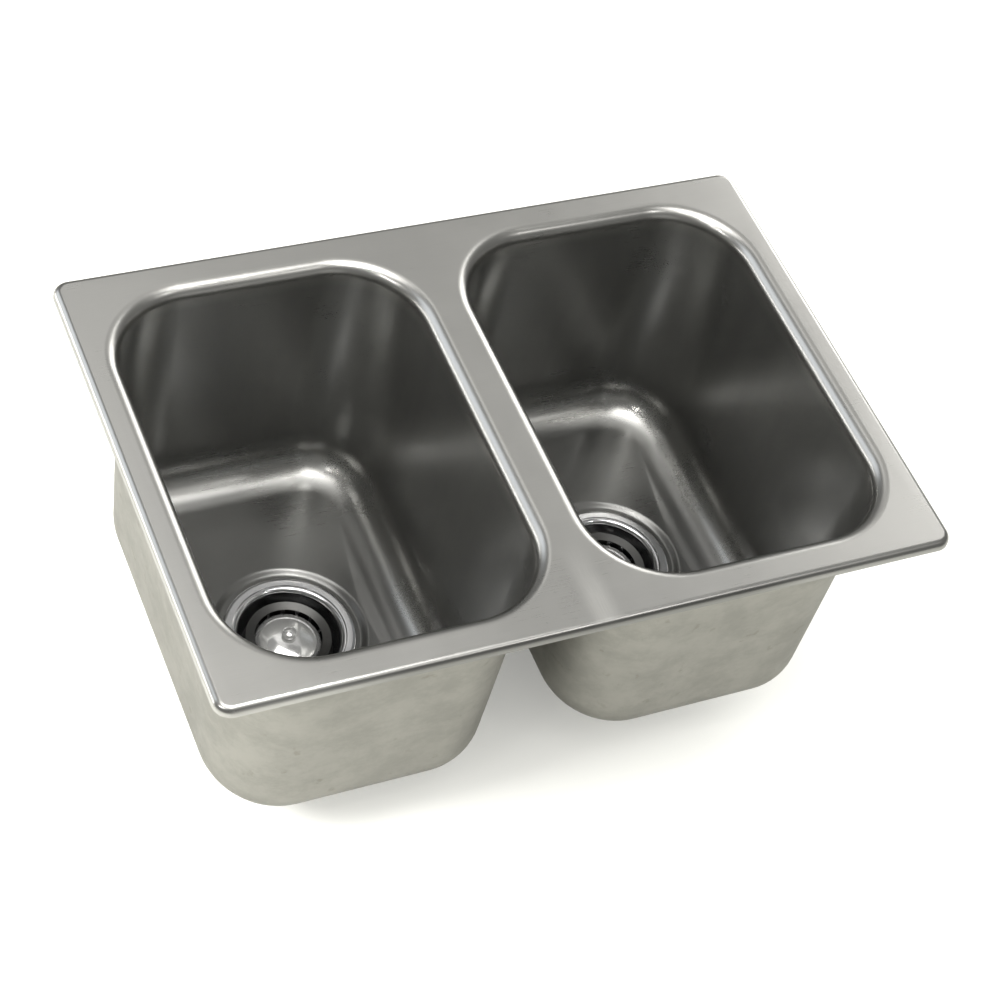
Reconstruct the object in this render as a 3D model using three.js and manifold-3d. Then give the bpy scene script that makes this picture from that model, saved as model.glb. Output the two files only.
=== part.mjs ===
// Double bowl kitchen sink: two deep drawn bowls welded into the two halves of a top flange, which are
// joined along the middle. Each bowl has a basket strainer drain. Millimetres, +Z up, X along the long side,
// Y to the back. The origin is on the standing plane, under the middle of the sink.

import * as THREE from 'three';
import * as BufferGeometryUtils from 'three/addons/utils/BufferGeometryUtils.js';
import Module from 'manifold-3d';

const wasm = await Module();
wasm.setup();

// ---------- driving dimensions ----------

// sheet and top flange
const SHEET = 1.2;
const FLANGE_LENGTH = 612;
const FLANGE_DEPTH = 424;
const FLANGE_CORNER = 14;
const EDGE_ROLL = 6;
const EDGE_SKIRT = 2;
const WELD_WIDTH = 3;

// bowls, measured at the top of the inner wall, depth from the flange top to the underside of the floor
const BOWL_WIDTH = 254;
const BOWL_LENGTH = 357;
const BOWL_DEPTH = 245;
const BOWL_SPACING = 298.6;
const BOWL_CORNER = 68;
const RIM_ROLL = 12;
const COVE = 38;
const SIDE_TAPER = 8.5;
const END_TAPER = 3;
const FLOOR_FALL = 2;

// drain opening pressed into each floor
const DRAIN_HOLE = 91.4;
const RECESS_DIAMETER = 128;
const RECESS_SEAT = 120;
const RECESS_DEPTH = 3;

// strainer body
const FLANGE_DIAMETER = 114;
const FLANGE_CREST = 2.4;
const CUP_OPENING = 87.4;
const CUP_WALL = 1.6;
const CUP_DEPTH = 27;
const CUP_FLOOR = 66;
const OUTLET_BORE = 38;
const OUTLET_WALL = 4.2;
const OUTLET_DROP = 44;

// rings that clamp the strainer body to the floor
const SEAL_HEIGHT = 0.8;
const GASKET_HEIGHT = 3;
const WASHER_HEIGHT = 0.8;
const GASKET_DIAMETER = 112;
const LOCKNUT_HEIGHT = 9;
const LOCKNUT_DIAMETER = 104;
const LOCKNUT_LUGS = 6;
const LUG_REACH = 5;
const LUG_WIDTH = 12;

// coupling nut and its washer under the outlet
const COUPLING_DIAMETER = 57;
const COUPLING_HEIGHT = 13;
const COUPLING_LIP = 2;
const COUPLING_LUGS = 8;
const COUPLING_LUG_REACH = 3;
const COUPLING_LUG_WIDTH = 7;
const SLIP_WASHER_HEIGHT = 2;

// strainer basket
const BASKET_RIM = 72;
const BASKET_MOUTH = 68.4;
const BASKET_BASE = 61;
const BASKET_SHEET = 1;
const BASKET_TOP = -3;
const SLOT_COUNT = 16;
const SLOT_WIDTH = 3.2;
const SLOT_HEIGHT = 9;
const DOME_DIAMETER = 58;
const DOME_SHOULDER = 9;
const DOME_RISE = 11;
const KNOB_DIAMETER = 13;
const KNOB_HEIGHT = 7;
const POST_DIAMETER = 6;
const STOPPER_DIAMETER = 54;
const STOPPER_HEIGHT = 2.8;
const POST_NUT_DIAMETER = 11;
const POST_NUT_HEIGHT = 2.4;

// crossbar in the outlet, which guides the foot of the basket's post
const CROSSBAR_HEIGHT = 2;
const CROSSBAR_DROP = 4;
const CROSSBAR_ARMS = 3;
const CROSSBAR_ARM_WIDTH = 4;
const HUB_DIAMETER = 13;
const POST_TIP = 1.5;

// clearances
const FIT_GAP = 0.2;
const RUNNING_GAP = 0.3;

// facets
const CORNER_STEPS = 8;
const ROLL_STEPS = 3;
const COVE_STEPS = 5;
const ROUND_STEPS = 24;
const SMALL_STEPS = 14;

// ---------- derived heights ----------

const SEAT_Z = OUTLET_DROP;
const FLOOR_EDGE_Z = SEAT_Z + RECESS_DEPTH + FLOOR_FALL;
const TOP_Z = FLOOR_EDGE_Z + BOWL_DEPTH - SHEET;
const CUP_FLOOR_Z = -CUP_DEPTH;
const STOPPER_Z = CUP_FLOOR_Z + FIT_GAP;
const BASKET_FLOOR_Z = STOPPER_Z + STOPPER_HEIGHT + FIT_GAP;
const DOME_FOOT_Z = BASKET_FLOOR_Z + BASKET_SHEET + FIT_GAP;
const DOME_TOP_Z = DOME_FOOT_Z + DOME_SHOULDER + DOME_RISE;
const CROSSBAR_Z = CUP_FLOOR_Z - CROSSBAR_DROP - CROSSBAR_HEIGHT;

// ---------- materials ----------

const steel = (color, roughness) => new THREE.MeshStandardMaterial({ color, roughness, metalness: 1 });
const satinSteel = steel(0xb4b2ac, 0.38);
const groundSteel = steel(0xc2c1bc, 0.45);
const polishedSteel = steel(0xd8d8da, 0.12);
const platedSteel = steel(0xc9c8c2, 0.3);
const zincAlloy = new THREE.MeshStandardMaterial({ color: 0xa9a9a4, roughness: 0.5, metalness: 0.9 });
const rubber = new THREE.MeshStandardMaterial({ color: 0x1d1d1f, roughness: 0.85, metalness: 0 });
const fibre = new THREE.MeshStandardMaterial({ color: 0x8a7358, roughness: 0.9, metalness: 0 });

const sink = new THREE.Group();

function addPiece(name, geometry, material, x = 0, z = 0) {
  const piece = new THREE.Mesh(geometry, material);
  piece.name = name;
  piece.position.set(x, 0, z);
  sink.add(piece);
}

// ---------- solids ----------

function toSolid(geometry) {
  const bare = new THREE.BufferGeometry();
  bare.setAttribute('position', geometry.getAttribute('position').clone());
  if (geometry.index) {
    bare.setIndex(geometry.index.clone());
  }
  const merged = BufferGeometryUtils.mergeVertices(bare, 1e-4);
  return new wasm.Manifold(new wasm.Mesh({
    numProp: 3,
    vertProperties: new Float32Array(merged.attributes.position.array),
    triVerts: new Uint32Array(merged.index.array),
  }));
}

function toGeometry(solid) {
  const mesh = solid.getMesh();
  const geometry = new THREE.BufferGeometry();
  geometry.setAttribute('position', new THREE.BufferAttribute(new Float32Array(mesh.vertProperties), 3));
  geometry.setIndex(new THREE.BufferAttribute(new Uint32Array(mesh.triVerts), 1));
  return geometry;
}

function turned(points, steps = ROUND_STEPS) {
  const profile = points.map(([radius, z]) => new THREE.Vector2(radius, z));
  profile.push(profile[0].clone());
  return new THREE.LatheGeometry(profile, steps).rotateX(Math.PI / 2);
}

function ring(inner, outer, low, high, steps = ROUND_STEPS) {
  return turned([[inner, low], [outer, low], [outer, high], [inner, high]], steps);
}

function arc(centreRadius, centreZ, radius, startAngle, endAngle, steps) {
  return Array.from({ length: steps + 1 }, (_, step) => {
    const angle = THREE.MathUtils.degToRad(startAngle + (endAngle - startAngle) * step / steps);
    return [centreRadius + radius * Math.cos(angle), centreZ + radius * Math.sin(angle)];
  });
}

function aroundAxis(count, makeSolid) {
  return Array.from({ length: count }, (_, index) => makeSolid(2 * Math.PI * index / count));
}

// ---------- pressed bowls ----------

// A rounded rectangle with a point at the middle of each side and CORNER_STEPS facets round each corner.
function roundedOutline({ centreX, halfX, halfY, corner, z }) {
  const outline = [];
  for (let quarter = 0; quarter < 4; quarter += 1) {
    const signX = quarter === 0 || quarter === 3 ? 1 : -1;
    const signY = quarter < 2 ? 1 : -1;
    const side = [[halfX, 0], [0, halfY], [-halfX, 0], [0, -halfY]][quarter];
    outline.push(new THREE.Vector3(centreX + side[0], side[1], z));
    for (let step = 0; step <= CORNER_STEPS; step += 1) {
      const angle = Math.PI / 2 * (quarter + step / CORNER_STEPS);
      outline.push(new THREE.Vector3(
        centreX + signX * (halfX - corner) + corner * Math.cos(angle),
        signY * (halfY - corner) + corner * Math.sin(angle),
        z,
      ));
    }
  }
  return outline;
}

// A circle with as many points as roundedOutline, for the drain.
function roundOutline({ centreX, radius, z }) {
  const count = 4 * (CORNER_STEPS + 2);
  return Array.from({ length: count }, (_, index) => {
    const angle = 2 * Math.PI * index / count;
    return new THREE.Vector3(centreX + radius * Math.cos(angle), radius * Math.sin(angle), z);
  });
}

// Joins a closed cycle of outlines into one solid skin.
function loft(outlines) {
  const count = outlines[0].length;
  const positions = outlines.flatMap((outline) => outline.flatMap((point) => point.toArray()));
  const index = [];
  outlines.forEach((_, row) => {
    const nextRow = (row + 1) % outlines.length;
    for (let column = 0; column < count; column += 1) {
      const nextColumn = (column + 1) % count;
      const a = row * count + column;
      const b = row * count + nextColumn;
      const c = nextRow * count + nextColumn;
      const d = nextRow * count + column;
      index.push(a, b, c, a, c, d);
    }
  });
  const geometry = new THREE.BufferGeometry();
  geometry.setAttribute('position', new THREE.Float32BufferAttribute(positions, 3));
  geometry.setIndex(index);
  return geometry;
}

// The outlines of one face of the pressed sheet: flange is from the edge to the foot of the rim roll,
// and bowl goes on from there to the drain hole. depthBelow is 0 for the upper face and SHEET for the lower.
function pressedFace(side, depthBelow) {
  const flangeHalf = (FLANGE_LENGTH / 2 + BOWL_CORNER) / 2;
  const flangeCentre = side * (FLANGE_LENGTH / 2 - flangeHalf);
  const bowlCentre = side * BOWL_SPACING / 2;

  const flangeOutline = ([inset, z]) => roundedOutline({
    centreX: flangeCentre,
    halfX: flangeHalf - inset,
    halfY: FLANGE_DEPTH / 2 - inset,
    corner: FLANGE_CORNER - inset,
    z,
  });
  const bowlOutline = ([inset, z]) => {
    const fall = THREE.MathUtils.clamp((TOP_Z - RIM_ROLL - z) / (BOWL_DEPTH - RIM_ROLL), 0, 1);
    return roundedOutline({
      centreX: bowlCentre,
      halfX: BOWL_WIDTH / 2 - SIDE_TAPER * fall - inset,
      halfY: BOWL_LENGTH / 2 - END_TAPER * fall - inset,
      corner: BOWL_CORNER - inset,
      z,
    });
  };
  const drainOutline = ([radius, z]) => roundOutline({ centreX: bowlCentre, radius, z });

  const edge = arc(EDGE_ROLL, TOP_Z - EDGE_ROLL, EDGE_ROLL - depthBelow, 180, 90, ROLL_STEPS);
  const rim = arc(-RIM_ROLL, TOP_Z - RIM_ROLL, RIM_ROLL - depthBelow, 90, 0, ROLL_STEPS + 1);
  const inner = COVE - SHEET;
  const cove = arc(inner, FLOOR_EDGE_Z + inner, inner + depthBelow, 180, 270, COVE_STEPS);
  const seatZ = SEAT_Z - depthBelow;

  return {
    flange: [
      flangeOutline([depthBelow, TOP_Z - EDGE_ROLL - EDGE_SKIRT]),
      ...edge.map(flangeOutline),
      ...rim.map(bowlOutline),
    ],
    bowl: [
      bowlOutline(rim[rim.length - 1]),
      ...cove.map(bowlOutline),
      drainOutline([RECESS_DIAMETER / 2, FLOOR_EDGE_Z - FLOOR_FALL - depthBelow]),
      drainOutline([RECESS_SEAT / 2, seatZ]),
      drainOutline([DRAIN_HOLE / 2, seatZ]),
    ],
  };
}

// Half of the flange with its rolled edge and the rolled rim of one opening, cut square at the weld.
function flangeHalf(side) {
  const skin = toSolid(loft([...pressedFace(side, 0).flange, ...pressedFace(side, SHEET).flange.reverse()]));
  const reach = FLANGE_LENGTH;
  const keep = new THREE.BoxGeometry(reach, reach, reach);
  keep.translate(side * (reach + WELD_WIDTH) / 2, 0, TOP_Z - reach / 2 + RIM_ROLL);
  return toGeometry(skin.intersect(toSolid(keep)));
}

// The deep drawn bowl, welded to the foot of the rim roll.
function bowl(side) {
  return loft([...pressedFace(side, 0).bowl, ...pressedFace(side, SHEET).bowl.reverse()]);
}

// The butt weld follows the section of the flange from front to back, ground level with both halves.
function centreWeld() {
  const end = FLANGE_DEPTH / 2 - EDGE_ROLL;
  const section = (depthBelow) => [
    [-FLANGE_DEPTH / 2 + depthBelow, TOP_Z - EDGE_ROLL - EDGE_SKIRT],
    ...arc(-end, TOP_Z - EDGE_ROLL, EDGE_ROLL - depthBelow, 180, 90, ROLL_STEPS),
    ...arc(end, TOP_Z - EDGE_ROLL, EDGE_ROLL - depthBelow, 90, 0, ROLL_STEPS),
    [FLANGE_DEPTH / 2 - depthBelow, TOP_Z - EDGE_ROLL - EDGE_SKIRT],
  ];
  const outline = [...section(0), ...section(SHEET).reverse()].map(([y, z]) => new THREE.Vector2(y, z));
  const shape = new THREE.Shape(outline);
  const bead = new THREE.ExtrudeGeometry(shape, { depth: WELD_WIDTH, bevelEnabled: false });
  bead.translate(0, 0, -WELD_WIDTH / 2);
  bead.rotateX(Math.PI / 2);
  bead.rotateZ(Math.PI / 2);
  return toGeometry(toSolid(bead));
}

// ---------- drain fittings, heights measured from the seat in the sink floor ----------

function strainerBody() {
  const flangeRadius = FLANGE_DIAMETER / 2;
  const mouth = CUP_OPENING / 2;
  const foot = CUP_FLOOR / 2;
  const bore = OUTLET_BORE / 2;
  const crestZ = SEAL_HEIGHT + FLANGE_CREST;
  const outletFoot = COUPLING_LIP + SLIP_WASHER_HEIGHT - OUTLET_DROP;
  const bend = mouth - foot - CUP_WALL;
  const cupCorner = arc(foot, CUP_FLOOR_Z + bend, bend, 270, 360, ROLL_STEPS);
  const outerCorner = arc(foot, CUP_FLOOR_Z + bend, bend + CUP_WALL, 360, 270, ROLL_STEPS);
  const lip = arc(mouth + FLANGE_CREST, crestZ - FLANGE_CREST, FLANGE_CREST, 180, 90, ROLL_STEPS);
  return turned([
    [bore, outletFoot],
    [bore + OUTLET_WALL, outletFoot],
    [bore + OUTLET_WALL, CUP_FLOOR_Z - CUP_WALL],
    ...outerCorner.reverse(),
    [mouth + CUP_WALL, CUP_FLOOR_Z + bend + CUP_WALL],
    [mouth + CUP_WALL, SEAL_HEIGHT],
    [flangeRadius, SEAL_HEIGHT],
    [flangeRadius, SEAL_HEIGHT + CUP_WALL / 2],
    [flangeRadius - FLANGE_CREST, crestZ - CUP_WALL / 2],
    [mouth + 2 * FLANGE_CREST, crestZ],
    ...lip.reverse(),
    ...cupCorner.reverse(),
    [bore, CUP_FLOOR_Z],
  ]);
}

function luggedRing(inner, outer, height, lugs, reach, width) {
  const body = toSolid(ring(inner, outer, 0, height));
  const lugSolids = aroundAxis(lugs, (angle) => {
    const lug = new THREE.BoxGeometry(2 * reach, width, height);
    lug.translate(outer, 0, height / 2).rotateZ(angle);
    return toSolid(lug);
  });
  return lugSolids.reduce((whole, lug) => whole.add(lug), body);
}

function couplingNut() {
  const thread = OUTLET_BORE / 2 + OUTLET_WALL + FIT_GAP;
  const outer = COUPLING_DIAMETER / 2;
  const shell = luggedRing(
    thread, outer, COUPLING_HEIGHT, COUPLING_LUGS, COUPLING_LUG_REACH, COUPLING_LUG_WIDTH,
  );
  const lip = toSolid(ring(OUTLET_BORE / 2 + FIT_GAP, (thread + outer) / 2, 0, COUPLING_LIP));
  return toGeometry(shell.add(lip));
}

function crossbar() {
  const hub = HUB_DIAMETER / 2;
  const facetedBore = OUTLET_BORE / 2 * Math.cos(Math.PI / ROUND_STEPS);
  const reach = Math.sqrt((facetedBore - FIT_GAP) ** 2 - (CROSSBAR_ARM_WIDTH / 2) ** 2);
  const root = (HUB_DIAMETER + POST_DIAMETER) / 4;
  const hole = POST_DIAMETER / 2 + RUNNING_GAP;
  const arms = aroundAxis(CROSSBAR_ARMS, (angle) => {
    const arm = new THREE.BoxGeometry(reach - root, CROSSBAR_ARM_WIDTH, CROSSBAR_HEIGHT);
    arm.translate((reach + root) / 2, 0, CROSSBAR_HEIGHT / 2).rotateZ(angle);
    return toSolid(arm);
  });
  const hubRing = toSolid(ring(hole, hub, 0, CROSSBAR_HEIGHT, SMALL_STEPS));
  return toGeometry(arms.reduce((whole, arm) => whole.add(arm), hubRing));
}

// ---------- strainer basket ----------

function basketCup() {
  const hole = POST_DIAMETER / 2 + FIT_GAP;
  const base = BASKET_BASE / 2;
  const mouth = BASKET_MOUTH / 2;
  const rim = BASKET_RIM / 2;
  const cup = toSolid(turned([
    [hole, BASKET_FLOOR_Z],
    [base, BASKET_FLOOR_Z],
    [mouth + BASKET_SHEET, BASKET_TOP - BASKET_SHEET],
    [rim, BASKET_TOP - BASKET_SHEET],
    [rim, BASKET_TOP],
    [mouth, BASKET_TOP],
    [base - BASKET_SHEET, BASKET_FLOOR_Z + BASKET_SHEET],
    [hole, BASKET_FLOOR_Z + BASKET_SHEET],
  ]));
  const middleZ = (BASKET_FLOOR_Z + BASKET_TOP) / 2;
  const slots = aroundAxis(SLOT_COUNT, (angle) => {
    const slot = new THREE.BoxGeometry(base / 2, SLOT_WIDTH, SLOT_HEIGHT);
    slot.translate((base + mouth) / 2, 0, middleZ).rotateZ(angle);
    return toSolid(slot);
  });
  return toGeometry(slots.reduce((whole, slot) => whole.subtract(slot), cup));
}

// The raised crown over the basket's base: a short upright shoulder under a low dome.
function basketDome() {
  const hole = POST_DIAMETER / 2 + FIT_GAP;
  const radius = DOME_DIAMETER / 2;
  const crown = (shell) => Array.from({ length: COVE_STEPS + 1 }, (_, step) => {
    const turn = Math.PI / 2 * step / COVE_STEPS;
    return [
      hole + (radius - shell - hole) * Math.cos(turn),
      DOME_FOOT_Z + DOME_SHOULDER + (DOME_RISE - shell) * Math.sin(turn),
    ];
  });
  return turned([
    [radius - BASKET_SHEET, DOME_FOOT_Z],
    [radius, DOME_FOOT_Z],
    ...crown(0),
    ...crown(BASKET_SHEET).reverse(),
  ]);
}

function basketKnob() {
  const post = POST_DIAMETER / 2 + FIT_GAP;
  const knob = KNOB_DIAMETER / 2;
  const foot = DOME_TOP_Z + FIT_GAP;
  const socketTop = foot + KNOB_HEIGHT / 2;
  const head = arc(0, 0, knob, -30, 90, COVE_STEPS).map(
    ([radius, rise]) => [Math.max(radius, 0), socketTop + rise * KNOB_HEIGHT / KNOB_DIAMETER],
  );
  return turned(
    [[0, socketTop], [post, socketTop], [post, foot], [post + BASKET_SHEET, foot], ...head],
    SMALL_STEPS,
  );
}

function basketPost() {
  const radius = POST_DIAMETER / 2;
  const low = CROSSBAR_Z - POST_TIP;
  const high = DOME_TOP_Z + KNOB_HEIGHT / 2;
  return turned(
    [[0, low], [radius / 2, low], [radius, low + POST_TIP], [radius, high], [0, high]],
    SMALL_STEPS,
  );
}

// ---------- assembly ----------

function addDrain(hand, x) {
  const barrel = CUP_OPENING / 2 + CUP_WALL;
  const gasketZ = -SHEET - GASKET_HEIGHT;
  const washerZ = gasketZ - WASHER_HEIGHT;
  const locknut = luggedRing(
    barrel + FIT_GAP, LOCKNUT_DIAMETER / 2, LOCKNUT_HEIGHT, LOCKNUT_LUGS, LUG_REACH, LUG_WIDTH,
  );
  const slipWasher = ring(
    OUTLET_BORE / 2 + FIT_GAP, OUTLET_BORE / 2 + OUTLET_WALL, 0, SLIP_WASHER_HEIGHT, SMALL_STEPS,
  );
  const add = (piece, geometry, material, z = 0) => {
    addPiece(`${hand}_${piece}`, geometry, material, x, SEAT_Z + z);
  };

  add('strainer_body', strainerBody(), polishedSteel);
  add('flange_seal', ring(barrel + FIT_GAP, FLANGE_DIAMETER / 2 - FIT_GAP, 0, SEAL_HEIGHT), rubber);
  add('floor_gasket', ring(barrel + FIT_GAP, GASKET_DIAMETER / 2, gasketZ, -SHEET), rubber);
  add('friction_washer', ring(barrel + FIT_GAP, GASKET_DIAMETER / 2, washerZ, gasketZ), fibre);
  add('locknut', toGeometry(locknut), zincAlloy, washerZ - LOCKNUT_HEIGHT);
  add('outlet_crossbar', crossbar(), platedSteel, CROSSBAR_Z);
  add('slip_washer', slipWasher, rubber, COUPLING_LIP - OUTLET_DROP);
  add('coupling_nut', couplingNut(), zincAlloy, -OUTLET_DROP);
}

function addBasket(hand, x) {
  const postHole = POST_DIAMETER / 2 + FIT_GAP;
  const nutTop = STOPPER_Z - FIT_GAP;
  const postNut = ring(postHole, POST_NUT_DIAMETER / 2, nutTop - POST_NUT_HEIGHT, nutTop, SMALL_STEPS);
  const add = (piece, geometry, material) => addPiece(`${hand}_${piece}`, geometry, material, x, SEAT_Z);

  add('basket_cup', basketCup(), platedSteel);
  add('basket_dome', basketDome(), polishedSteel);
  add('basket_knob', basketKnob(), polishedSteel);
  add('basket_post', basketPost(), platedSteel);
  add('stopper_seal', ring(postHole, STOPPER_DIAMETER / 2, STOPPER_Z, STOPPER_Z + STOPPER_HEIGHT), rubber);
  add('post_nut', postNut, platedSteel);
}

const hands = [['left', -1], ['right', 1]];
hands.forEach(([hand, side]) => {
  addPiece(`${hand}_flange`, flangeHalf(side), satinSteel);
  addPiece(`${hand}_bowl`, bowl(side), satinSteel);
});
addPiece('centre_weld', centreWeld(), groundSteel);
hands.forEach(([hand, side]) => {
  addDrain(hand, side * BOWL_SPACING / 2);
  addBasket(hand, side * BOWL_SPACING / 2);
});

export default sink;
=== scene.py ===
"""Dresses the double bowl sink: fine pressed steel, drains and baskets on a pale studio floor."""

from __future__ import annotations

import logging
import math
from dataclasses import dataclass, replace
from enum import Enum
from typing import Any, Callable, Iterable, Union

import bmesh
import bpy
from bpy.types import Material, NodeSocket
from mathutils import Matrix, Vector


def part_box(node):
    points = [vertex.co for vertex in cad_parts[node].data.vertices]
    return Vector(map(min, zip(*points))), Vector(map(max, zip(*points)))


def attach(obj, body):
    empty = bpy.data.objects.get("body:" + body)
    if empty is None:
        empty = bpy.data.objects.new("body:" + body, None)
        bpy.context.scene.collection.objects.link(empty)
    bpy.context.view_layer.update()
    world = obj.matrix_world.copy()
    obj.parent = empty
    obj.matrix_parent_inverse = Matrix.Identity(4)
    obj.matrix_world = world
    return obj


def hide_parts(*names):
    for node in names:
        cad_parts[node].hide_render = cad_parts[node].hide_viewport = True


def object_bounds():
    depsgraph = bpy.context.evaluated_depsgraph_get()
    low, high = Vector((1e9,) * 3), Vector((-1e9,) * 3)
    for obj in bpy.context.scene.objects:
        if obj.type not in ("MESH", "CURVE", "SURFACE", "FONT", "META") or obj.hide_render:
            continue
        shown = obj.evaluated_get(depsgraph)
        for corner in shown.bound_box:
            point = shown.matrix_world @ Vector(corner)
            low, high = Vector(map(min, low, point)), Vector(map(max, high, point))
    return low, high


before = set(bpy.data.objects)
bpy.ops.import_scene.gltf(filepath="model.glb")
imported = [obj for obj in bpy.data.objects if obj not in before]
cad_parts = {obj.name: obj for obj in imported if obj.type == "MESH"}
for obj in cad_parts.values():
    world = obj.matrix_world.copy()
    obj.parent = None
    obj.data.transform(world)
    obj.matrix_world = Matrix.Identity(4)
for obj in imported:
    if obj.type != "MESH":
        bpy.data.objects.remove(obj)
CAD_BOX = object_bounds()
FRONT = CAD_BOX[0].y
RIGHT, _, FLANGE_TOP = CAD_BOX[1]

MM = 0.001
HAIR = 0.01 * MM
NEAR = 0.1 * MM
CREASE = 35.0
LOG = logging.getLogger("sink")
Point = tuple[float, float]
Triple = tuple[float, float, float]
Colour = Triple


class Hand(Enum):
    """A side of the sink, as seen from the front."""

    LEFT = "left"
    RIGHT = "right"

    def of(self, part: str) -> str:
        """The name of the part on this side."""
        return f"{self.value}_{part}"


# ---------- shader maths ----------


class Value:
    """A socket of one material that carries numbers, with arithmetic that adds Math nodes."""

    def __init__(self, shader: Shader, socket: NodeSocket) -> None:
        """Wraps an output socket of a material."""
        self.shader = shader
        self.socket = socket

    def _math(self, operation: str, *terms: Term) -> Value:
        """The result of a new Math node with these inputs, in order."""
        node = self.shader.node("ShaderNodeMath", {"operation": operation}, dict(enumerate(terms)))
        return Value(self.shader, node.outputs[0])

    def __add__(self, other: Term) -> Value:
        """Sum."""
        return self._math("ADD", self, other)

    def __radd__(self, other: float) -> Value:
        """Sum with a number on the left."""
        return self._math("ADD", other, self)

    def __sub__(self, other: Term) -> Value:
        """Difference."""
        return self._math("SUBTRACT", self, other)

    def __rsub__(self, other: float) -> Value:
        """Difference from a number."""
        return self._math("SUBTRACT", other, self)

    def __mul__(self, other: Term) -> Value:
        """Product."""
        return self._math("MULTIPLY", self, other)

    def __rmul__(self, other: float) -> Value:
        """Product with a number on the left."""
        return self._math("MULTIPLY", other, self)

    def __truediv__(self, other: Term) -> Value:
        """Quotient."""
        return self._math("DIVIDE", self, other)

    def size(self) -> Value:
        """Absolute value."""
        return self._math("ABSOLUTE", self)

    def at_least(self, other: Term) -> Value:
        """The larger of two values."""
        return self._math("MAXIMUM", self, other)

    def step(self, low: float, high: float) -> Value:
        """Rises smoothly from 0 to 1.

        Args:
            low: Where the result leaves 0.
            high: Where the result reaches 1. It may lie below low.

        Returns:
            The smooth step.
        """
        start, end = min(low, high), max(low, high)
        ends = (0.0, 1.0) if low <= high else (1.0, 0.0)
        node = self.shader.node(
            "ShaderNodeMapRange",
            {"interpolation_type": "SMOOTHSTEP"},
            {"Value": self, "From Min": start, "From Max": end, "To Min": ends[0], "To Max": ends[1]},
        )
        return Value(self.shader, node.outputs["Result"])


Term = Union[Value, float]


class Shader:
    """Builds the nodes of one material."""

    def __init__(self, name: str) -> None:
        """Makes an empty node material.

        Args:
            name: The material's name.
        """
        self.material = bpy.data.materials.new(name)
        self.material.use_nodes = True
        self.tree = self.material.node_tree
        self.tree.nodes.clear()

    def node(
        self, kind: str, settings: dict[str, Any] | None = None, inputs: dict[Any, Any] | None = None
    ) -> bpy.types.Node:
        """Adds a node.

        Args:
            kind: The node's type.
            settings: Its properties, set first.
            inputs: Values, sockets or Values for its inputs, by name or index.

        Returns:
            The node.
        """
        node = self.tree.nodes.new(kind)
        for key, setting in (settings or {}).items():
            setattr(node, key, setting)
        for key, given in (inputs or {}).items():
            socket = node.inputs[key]
            source = given.socket if isinstance(given, Value) else given
            if isinstance(source, NodeSocket):
                self.tree.links.new(source, socket)
            else:
                socket.default_value = source
        return node

    def position(self) -> NodeSocket:
        """The point on the piece, in metres."""
        return self.node("ShaderNodeTexCoord").outputs["Object"]

    def axes(self) -> tuple[Value, Value, Value]:
        """The point's x, y and z as values."""
        parts = self.node("ShaderNodeSeparateXYZ", inputs={"Vector": self.position()})
        return tuple(Value(self, output) for output in parts.outputs)

    def noise(
        self, cycles: Triple | float, detail: float = 3.0, roughness: float = 0.55, offset: float = 0.0
    ) -> Value:
        """Noise on the piece's own coordinates.

        Args:
            cycles: Cycles a metre along each axis, or one number for all three.
            detail: Octaves.
            roughness: Share of each further octave.
            offset: Shift that gives another pattern.

        Returns:
            The noise, about 0 to 1.
        """
        scale = cycles if isinstance(cycles, tuple) else (cycles,) * 3
        mapped = self.node(
            "ShaderNodeMapping",
            inputs={"Vector": self.position(), "Scale": scale, "Location": (offset,) * 3},
        )
        noise = self.node(
            "ShaderNodeTexNoise",
            inputs={"Vector": mapped.outputs[0], "Scale": 1.0, "Detail": detail, "Roughness": roughness},
        )
        return Value(self, noise.outputs["Fac"])

    def blend(self, factor: Term, first: Any, second: Any) -> NodeSocket:
        """Mixes two colours.

        Args:
            factor: 0 for the first, 1 for the second.
            first: A colour or a colour socket.
            second: A colour or a colour socket.

        Returns:
            The mixed colour.
        """
        padded = [(*c, 1.0) if isinstance(c, tuple) else c for c in (first, second)]
        node = self.node("ShaderNodeMix", {"data_type": "RGBA"}, {0: factor, 6: padded[0], 7: padded[1]})
        return node.outputs[2]

    def bump(self, height: Value, depth: float) -> NodeSocket:
        """The normal of a relief with heights of 0 to 1 that is depth metres deep."""
        node = self.node("ShaderNodeBump", inputs={"Strength": 1.0, "Distance": depth, "Height": height})
        return node.outputs[0]

    def finish(self, **sockets: Any) -> Material:
        """Ends the material with a Principled surface.

        Args:
            sockets: Values for its inputs, with underscores for spaces.

        Returns:
            The material.
        """
        inputs = {key.replace("_", " "): value for key, value in sockets.items()}
        surface = self.node("ShaderNodeBsdfPrincipled", inputs=inputs)
        self.node("ShaderNodeOutputMaterial", inputs={"Surface": surface.outputs[0]})
        return self.material


# ---------- finishes ----------


class Grain(Enum):
    """The way that a surface is brushed, as cycles a metre along each axis."""

    ALONG_X = (30.0, 1500.0, 1500.0)
    LEVEL = (25.0, 25.0, 1500.0)


# Each pair says where something on the shell starts and where it is full. Those of the bowl are heights
# above the top of the flange.
SEAM_BESIDE_MIDDLE = (16 * MM, 2 * MM)
SEAM_TO_FRONT = (-120 * MM, -190 * MM)
SHADE_FROM_EDGE = (3.4 * MM, 1.4 * MM)
FRONT_SHADE_STARTS = (-260 * MM, -140 * MM)
FRONT_SHADE_FADES = (110 * MM, 190 * MM)
# BOWL_MOUTH, BOWL_COVE and BOWL_FLOOR place the painted shade inside the bowl, the painted highlight on its
# cove and the darkest painted shade on its floor.
BOWL_MOUTH = (-2 * MM, -24 * MM)
BOWL_COVE = (-204 * MM, -230 * MM)
BOWL_FLOOR = (-238 * MM, -243 * MM)
DRIED_DROP: Colour = (0.24, 0.22, 0.17)


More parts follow.
